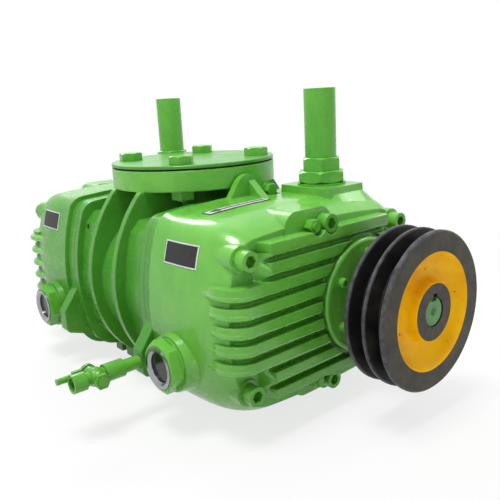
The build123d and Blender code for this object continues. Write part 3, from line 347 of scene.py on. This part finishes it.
# painted shade: the far end cover is a deeper green all over, for its shaded side
far_green_painted_shade = paint("green_far_painted_shade", cast_grain, cast_edge, shift=0.5, painted_shade=0.45, coat=0.1)
rib_green = paint("green_rib", grain=0.00010, edge=0.0015, gloss=0.22, corner_shade=0.12, coat=0.8)
# painted shade: the blank plate is a deeper green all over, toning down the light on its top
plate_green_painted_shade = paint("green_plate_painted_shade", grain=0.00012, edge=0.0010, gloss=0.34, shift=2.0,
                    painted_shade=0.6)
fitting_green = paint("green_fitting", grain=0.00005, edge=0.0007, gloss=0.26, shift=4.0)
bright = metal("bright_ring", srgb(158, 160, 162), 0.2)
steel = metal("machined_steel", srgb(150, 150, 150), 0.34)
iron = metal("machined_iron", srgb(104, 102, 98), 0.46)
gasket = rubber("black_packing", srgb(22, 22, 22))
lens = sight_lens("sight_lens")
pulley_paint = pulley_coat("pulley_coat")
shaft_paint = shaft_coat("shaft_coat")
label_black = plain_finish("label_black", srgb(16, 16, 18), 0.5, srgb(34, 34, 38))
label_white = plain_finish("label_white", srgb(226, 230, 228), 0.35, srgb(176, 186, 178))

middle_nodes = ["centre_casing", "drive_side_plate", "gear_side_plate"]
fitting_nodes = ["inlet_bolts", "drive_cover_screws", "gear_cover_screws", "oil_plugs", "lug_bolts",
                 "seal_cap_screws", "drain_pipe", "drain_coupling", "cock_body", "cock_socket",
                 "cock_plug", "cock_nut", "cock_lever"]
for end in ("drive", "gear"):
    fitting_nodes += [f"{end}_breather_{part}" for part in ("washer", "bush", "nipple", "pipe")]
    fitting_nodes += [f"{end}_sight_body", f"{end}_sight_washer"]


def dress(names, material):
    """Gives the named CAD nodes one material."""
    for name in names:
        mesh = nodes[name].data
        mesh.materials.clear()
        mesh.materials.append(material)


dress(nodes, steel)
dress(["drive_end_cover", "seal_cap"], cast_green)
dress(["gear_end_cover"], far_green_painted_shade)
dress(middle_nodes, middle_green_painted_shade)
dress(["inlet_blank_plate"], plate_green_painted_shade)
dress(fitting_nodes, fitting_green)
dress(["drive_sight_ring", "gear_sight_ring"], bright)
dress(["drive_sight_glass", "gear_sight_glass"], lens)
dress(["inlet_gasket", "drive_shaft_seal"], gasket)
dress(["drive_rotor", "driven_rotor"], iron)
dress(["pulley"], pulley_paint)
dress(["drive_shaft"], shaft_paint)


# ---- thin plates laid on the castings ----------------------------------------
def skin(node):
    """The node's surface, for finding where a thin piece lies on it."""
    mesh = nodes[node].data
    mesh.calc_loop_triangles()
    triangles = [tuple(triangle.vertices) for triangle in mesh.loop_triangles]
    return BVHTree.FromPolygons([vertex.co for vertex in mesh.vertices], triangles)


def add_mesh(name, points, faces, material):
    """A new object in the scene with one mesh and one material."""
    mesh = bpy.data.meshes.new(name)
    mesh.from_pydata(points, [], faces)
    mesh.materials.append(material)
    piece = bpy.data.objects.new(name, mesh)
    bpy.context.scene.collection.objects.link(piece)
    return piece


def laid(name, surface, corner, along, across, outline, rise, depth, look):
    """A thin plate of the given outline, pressed onto a surface.

    outline moves a point given by its shares 0..1 along and across the plate. corner is the
    0, 0 point outside the surface. The plate is pushed inward, the way that the cross product
    of its two sides points. rise is the gap under it and depth its thickness.
    """
    inward = along.cross(across).normalized()
    count_along, count_across = 14, 6
    top = []
    bottom = []
    for j in range(count_across + 1):
        for i in range(count_along + 1):
            u, v = outline(i / count_along, j / count_across)
            start = corner + along * u + across * v
            hit, normal, _, _ = surface.ray_cast(start, inward)
            top.append(tuple(hit + normal * (rise + depth)))
            bottom.append(tuple(hit + normal * rise))
    wide = count_along + 1
    total = len(top)
    faces = []
    for j in range(count_across):
        for i in range(count_along):
            a = j * wide + i
            square = (a, a + 1, a + 1 + wide, a + wide)
            faces.append(square[::-1])
            faces.append(tuple(total + index for index in square))
    border = ([i for i in range(wide)]
              + [j * wide + count_along for j in range(1, count_across + 1)]
              + [count_across * wide + i for i in range(count_along - 1, -1, -1)]
              + [j * wide for j in range(count_across - 1, 0, -1)])
    for first, second in zip(border, border[1:] + border[:1]):
        faces.append((first, second, total + second, total + first))
    piece = add_mesh(name, top + bottom, faces, look)
    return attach(piece, "casing")


def full(u, v):
    """The whole plate."""
    return u, v


def inset(border_u, border_v):
    """The plate without a border, given in shares of its length and width."""
    def shape(u, v):
        return border_u + u * (1 - 2 * border_u), border_v + v * (1 - 2 * border_v)
    return shape


def arrow_shape(u, v):
    """A shaft with a pointed head toward u = 0, short of the plate's ends."""
    end_gap = 0.04
    head_length = 0.16
    head_half = 0.36
    shaft_half = 0.12
    half = head_half * u / head_length if u < head_length else shaft_half
    return end_gap + u * (1 - 2 * end_gap), 0.5 + (v - 0.5) * 2 * half


outside_gap = 0.05           # where the search for the surface starts
border_rise = 0.0001
face_rise = 0.0003
label_long = 0.048
label_high = 0.021
label_base = 0.164           # height of the lower edge
label_middle = 0.144         # how far the label's middle is from the middle of the pump
label_thick = 0.0006
for end, node, middle in (("drive", "drive_end_cover", -label_middle),
                          ("gear", "gear_end_cover", label_middle)):
    surface = skin(node)
    low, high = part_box(node)
    corner = Vector((low.x - outside_gap, middle - label_long / 2, label_base))
    along = Vector((0.0, label_long, 0.0))
    across = Vector((0.0, 0.0, label_high))
    laid(f"{end}_oil_label_border", surface, corner, along, across, full,
         border_rise, label_thick, label_white)
    laid(f"{end}_oil_label_face", surface, corner, along, across, inset(0.028, 0.06),
         face_rise, label_thick, label_black)

arrow_long = 0.078
arrow_wide = 0.0135
arrow_thick = 0.0005
arrow_rise = 0.0005
arrow_corner = (-0.086, -0.1295)
surface = skin("drive_end_cover")
low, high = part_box("drive_end_cover")
corner = Vector((*arrow_corner, high.z + outside_gap))
along = Vector((arrow_long, 0.0, 0.0))
across = Vector((0.0, -arrow_wide, 0.0))
laid("turning_arrow_border", surface, corner, along, across, full,
     border_rise, arrow_thick, label_black)
laid("turning_arrow_face", surface, corner, along, across, inset(0.012, 0.12),
     face_rise, arrow_thick, label_white)
laid("turning_arrow", surface, corner, along, across, arrow_shape,
     arrow_rise, arrow_thick, label_black)


# ---- coved sheets over the cooling ribs --------------------------------------
axis_height = 0.110
drive_axis_x = 0.045
boss_radius = 0.063
boss_depth = 0.0078          # the sheet lies at least this far back at the shaft boss
boss_lap = 0.004             # how far the sheet runs on under the boss's edge
rib_pitch = 0.0171
rib_middle = axis_height + 0.001
long_rows = 2                # ribs each side of the middle one that wrap the corners
last_row = 4
crest_half = 0.0012
valley_depth = 0.0080
wall_depth = 0.016           # just under the cover's own wall
short_end = 0.0815           # where a short rib starts to fall away
short_fall = 1.5             # how steeply it falls
front_half = 0.106           # half the length of a long rib's straight front
turn_x, turn_back = 0.124, 0.013    # middle of its arc: out from the middle, behind the crest
tail_x, tail_back = 0.1265, 0.035   # end of its arc
front_lift = 0.00002         # the sheet's gap over the CAD crest, on the straight front
corner_lift = 0.0003         # and round the corners
lift_blend = 0.006
tail_length = 0.024          # how far a long rib takes to rise from the side of the cover
tail_sink = 0.0004           # how far the tails start under that side
search_start = 0.3           # X outside the cover, where the search for its side starts
arc_steps = 14
front_steps = 104
tail_steps = 10
pitch_steps = 16


def arc_through(start, middle, end, count):
    """Points of the circular arc from start to end by way of middle, in a plane."""
    first = middle - start
    second = end - start
    first_square = first.length_squared
    second_square = second.length_squared
    across = 2.0 * (first.x * second.y - first.y * second.x)
    to_centre = Vector((second.y * first_square - first.y * second_square,
                        first.x * second_square - second.x * first_square)) / across
    centre = start + to_centre
    spoke = start - centre
    sweep = spoke.angle_signed(end - centre)
    points = []
    for step in range(count + 1):
        turn = -sweep * step / count
        points.append(centre + Vector((spoke.x * cos(turn) - spoke.y * sin(turn),
                                       spoke.x * sin(turn) + spoke.y * cos(turn))))
    return points


def rib_line(crest, bulge):
    """Plan of a long rib's crest, from one tail round the front to the other.

    Its y is measured forward, out of the cover. bulge sets the arcs further out.
    """
    tail = Vector((-tail_x - bulge, crest - tail_back))
    turn = Vector((-turn_x - bulge, crest - turn_back + bulge / 2))
    front = Vector((-front_half, crest))
    left = arc_through(tail, turn, front, arc_steps)
    right = [Vector((-point.x, point.y)) for point in reversed(left)]
    middle = [front + Vector((-2 * front.x * step / front_steps, 0.0))
              for step in range(1, front_steps)]
    return left + middle + right


def cove(share, depth):
    """Depth below the crest, rounded at the crest and at the bottom of the valley."""
    share = min(max(share, 0.0), 1.0)
    return depth * (1 - cos(share * pi)) / 2


def from_drive_axis(x, z):
    """Distance from the drive shaft's axis."""
    return ((x - drive_axis_x) ** 2 + (z - axis_height) ** 2) ** 0.5


def valley_at(x, z, boss):
    """How far the coved sheet lies behind the rib crests; boss is true for the drive end."""
    half = rib_pitch / 2
    row = (z - rib_middle) / rib_pitch
    from_crest = abs(row - round(row)) * rib_pitch
    depth = cove((from_crest - crest_half) / (half - crest_half), valley_depth)
    if abs(row) > long_rows:
        falling = short_fall * max(abs(x) - short_end, 0.0)
        past = (abs(row) - long_rows) * rib_pitch
        blend = cove((past - crest_half) / half, wall_depth)
        depth = min(max(depth, falling), blend)
    if boss and from_drive_axis(x, z) < boss_radius:
        depth = max(depth, boss_depth)
    round_corner = min(max(abs(x) - front_half, 0.0) / lift_blend, 1.0)
    lift = front_lift + (corner_lift - front_lift) * round_corner
    return min(depth, wall_depth) - lift


def rib_tail(surface, foot, levels, way):
    """Columns of points that rise out of the cover's side to the rib line's end, foot."""
    out = 1.0 if foot.x > 0 else -1.0
    columns = []
    for station in range(tail_steps):
        share = station / tail_steps
        rise = share * share * (3 - 2 * share)
        y = way * (foot.y - tail_length * (1 - share))
        column = []
        for z in levels:
            start = Vector((out * search_start, y, z))
            hit, _, _, _ = surface.ray_cast(start, Vector((-out, 0.0, 0.0)))
            wall = hit.x - out * tail_sink
            sheet = foot.x - out * valley_at(foot.x, z, way < 0)
            column.append((wall + (sheet - wall) * rise, y, z))
        columns.append(column)
    return columns


def rib_coves(end, way, bulge):
    """One smooth sheet over the ribs of an end cover, rounded in the valleys.

    way is the side that the cover faces along Y. The drive end's sheet is open at the boss.
    """
    low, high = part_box(f"{end}_end_cover")
    crest = -low.y if way < 0 else high.y
    surface = skin(f"{end}_end_cover")
    line = rib_line(crest, bulge)
    levels = [rib_middle + row * rib_pitch + rib_pitch * step / pitch_steps
              for row in range(-last_row, last_row) for step in range(pitch_steps)]
    levels.append(rib_middle + last_row * rib_pitch)
    columns = rib_tail(surface, line[0], levels, way)
    for index, place in enumerate(line):
        before = line[max(index - 1, 0)]
        after = line[min(index + 1, len(line) - 1)]
        run = (after - before).normalized()
        inward = Vector((run.y, -run.x))
        column = []
        for z in levels:
            spot = place + inward * valley_at(place.x, z, way < 0)
            column.append((spot.x, way * spot.y, z))
        columns.append(column)
    columns += reversed(rib_tail(surface, line[-1], levels, way))
    points = [point for column in columns for point in column]
    tall = len(levels)
    faces = []
    for index in range(len(columns) - 1):
        for level in range(tall - 1):
            a = index * tall + level
            x, _, z = points[a]
            if way < 0 and from_drive_axis(x, z) < boss_radius - boss_lap:
                continue
            face = (a, a + tall, a + tall + 1, a + 1)
            faces.append(face if way < 0 else face[::-1])
    piece = add_mesh(f"{end}_rib_coves", points, faces, rib_green)
    piece.data.polygons.foreach_set("use_smooth", [True] * len(faces))
    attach(piece, "casing")


rib_coves("drive", -1, 0.0)
rib_coves("gear", 1, 0.004)


# ---- floor, lamps, camera ----------------------------------------------------
def background_share(tree):
    """1 where the ray comes straight from the camera, a mirror or glass, else 0."""
    path = tree.nodes.new("ShaderNodeLightPath")
    total = path.outputs["Is Camera Ray"]
    for other in ("Is Glossy Ray", "Is Transmission Ray"):
        highest = tree.nodes.new("ShaderNodeMath")
        highest.operation = "MAXIMUM"
        tree.links.new(total, highest.inputs[0])
        tree.links.new(path.outputs[other], highest.inputs[1])
        total = highest.outputs[0]
    return total


def make_floor():
    """White from the camera, with the lit floor and its shadow mixed in near the pump."""
    reach = 30.0
    drop = 0.0005
    fade_start, fade_end = 0.25, 0.75
    white_near, white_far = 0.76, 1.0
    shader = Shader("pale_floor")
    shader.set(Base_Color=(0.82, 0.82, 0.82, 1.0), Roughness=0.9, Specular_IOR_Level=0.0)
    glow = shader.add("ShaderNodeEmission")
    shader.feed(glow.inputs["Strength"], 1.0)
    away = shader.add("ShaderNodeVectorMath", operation="LENGTH")
    shader.feed(away.inputs[0], shader.place)
    white = shader.band(away.outputs["Value"], fade_start, fade_end, white_near, white_far)
    blend = shader.add("ShaderNodeMixShader")
    shader.feed(blend.inputs[0], shader.math("MULTIPLY", background_share(shader.tree), white))
    shader.feed(blend.inputs[1], shader.surface.outputs[0])
    shader.feed(blend.inputs[2], glow.outputs[0])
    end = shader.tree.nodes["Material Output"].inputs["Surface"]
    shader.feed(end, blend.outputs[0])
    low, _ = cad_box
    corners = [(-reach, -reach), (reach, -reach), (reach, reach), (-reach, reach)]
    points = [(x, y, low.z - drop) for x, y in corners]
    floor = add_mesh("floor", points, [(0, 1, 2, 3)], shader.material)


def make_world():
    """A white background, and a dimmer white room that lights the pump."""
    room_light = 0.34
    world = bpy.data.worlds.new("studio")
    world.use_nodes = True
    bpy.context.scene.world = world
    tree = world.node_tree
    room = tree.nodes["Background"]
    white = tree.nodes.new("ShaderNodeBackground")
    for node, strength in ((room, room_light), (white, 1.0)):
        node.inputs["Color"].default_value = (1.0, 1.0, 1.0, 1.0)
        node.inputs["Strength"].default_value = strength
    blend = tree.nodes.new("ShaderNodeMixShader")
    tree.links.new(background_share(tree), blend.inputs[0])
    tree.links.new(room.outputs[0], blend.inputs[1])
    tree.links.new(white.outputs[0], blend.inputs[2])
    tree.links.new(blend.outputs[0], tree.nodes["World Output"].inputs["Surface"])


def lamp(name, place, target, size, power):
    """A round area lamp of the given width that shines at target."""
    data = bpy.data.lights.new(name, "AREA")
    data.shape = "DISK"
    data.size = size
    data.energy = power
    item = bpy.data.objects.new(name, data)
    bpy.context.scene.collection.objects.link(item)
    item.location = place
    item.rotation_mode = "QUATERNION"
    item.rotation_quaternion = (Vector(target) - Vector(place)).to_track_quat("-Z", "Y")


def make_camera():
    """The camera stands off the drive end's left corner and looks slightly down."""
    place = Vector((-0.4187, -0.5924, 0.3058))
    yaw, pitch, roll = 0.70056, 0.24014, -0.05270
    focal_length = 43.414
    sensor_width = 36.0
    forward = Vector((sin(yaw) * cos(pitch), cos(yaw) * cos(pitch), -sin(pitch)))
    right = Vector((cos(yaw), -sin(yaw), 0.0))
    up = right.cross(forward)
    level_right = cos(roll) * right + sin(roll) * up
    level_up = cos(roll) * up - sin(roll) * right
    data = bpy.data.cameras.new("camera")
    data.sensor_width = sensor_width
    data.lens = focal_length
    data.clip_start = 0.05
    data.clip_end = 60.0
    camera = bpy.data.objects.new("camera", data)
    bpy.context.scene.collection.objects.link(camera)
    turn = Matrix((level_right, level_up, -forward)).transposed().to_4x4()
    camera.matrix_world = Matrix.Translation(place) @ turn
    bpy.context.scene.camera = camera


make_floor()
make_world()
centre = (cad_box[0] + cad_box[1]) / 2
lamp("key", (-0.6, -0.2, 2.2), centre, 0.8, 38.0)
lamp("back", (0.5, 1.7, 1.5), centre, 1.0, 18.0)
lamp("right", (1.6, -0.7, 1.7), centre, 0.8, 8.0)
lamp("left", (-1.6, -1.8, 1.0), centre, 0.8, 4.0)
make_camera()
bpy.context.scene.view_settings.view_transform = "Standard"

bpy.context.view_layer.update()
